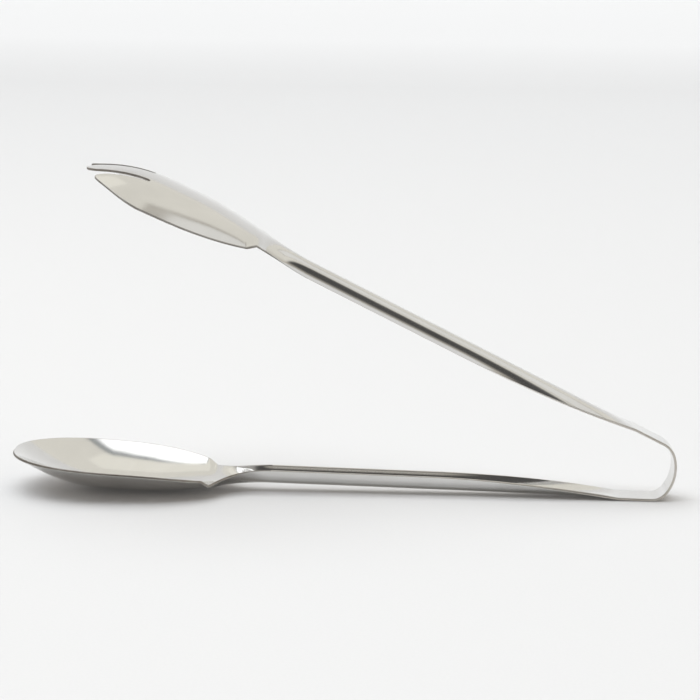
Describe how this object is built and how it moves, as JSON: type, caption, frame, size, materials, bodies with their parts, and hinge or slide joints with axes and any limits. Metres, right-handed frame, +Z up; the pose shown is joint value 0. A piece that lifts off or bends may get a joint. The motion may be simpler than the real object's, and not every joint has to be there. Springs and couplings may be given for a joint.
{
  "type": "spoon and fork serving tongs",
  "caption": "One-piece sprung steel serving tongs with a spoon on the lower arm, a tined fork on the upper arm, channel stems and a flat springy bow.",
  "frame": {"origin": "on the table under the middle of the object's length and width, at the height of the heel of the bow and of the spoon's belly, which carry it", "axes": "+X from the spoon's tip towards the bow, +Y across the strip, +Z up from the table to the open fork arm"},
  "size_m": [0.2516, 0.0566, 0.1236],
  "materials": {
    "polished_steel": "soft mirror polish"
  },
  "bodies": {
    "lower_arm": {"spoon_bowl": "polished_steel", "spoon_stem": "polished_steel", "spoon_leaf": "polished_steel"},
    "lower_bow": {"bow_lower": "polished_steel"},
    "upper_bow": {"bow_upper": "polished_steel"},
    "upper_arm": {"fork_leaf": "polished_steel", "fork_stem": "polished_steel", "fork_head": "polished_steel"}
  },
  "joints": [
    {"name": "lower_leaf_flex", "type": "hinge", "parent": "lower_arm", "child": "lower_bow", "pos_m": [0.10438, 0, 0.00125], "axis": [0, -1, 0], "range_deg": [0, 8.7], "stiffness_Nm_per_rad": 4.1, "springref_deg": -1.07},
    {"name": "back_flex", "type": "hinge", "parent": "lower_bow", "child": "upper_bow", "pos_m": [0.12447, 0, 0.00983], "axis": [0, -1, 0], "range_deg": [0, 8.7], "stiffness_Nm_per_rad": 4.1, "springref_deg": -1.11},
    {"name": "upper_leaf_flex", "type": "hinge", "parent": "upper_bow", "child": "upper_arm", "pos_m": [0.10943, 0, 0.02701], "axis": [0, -1, 0], "range_deg": [0, 8.7], "stiffness_Nm_per_rad": 4.1, "springref_deg": -1.01}
  ],
  "couplings": [
    {"joint": "lower_leaf_flex", "follows": "back_flex", "ratio": 1},
    {"joint": "upper_leaf_flex", "follows": "back_flex", "ratio": 1}
  ]
}
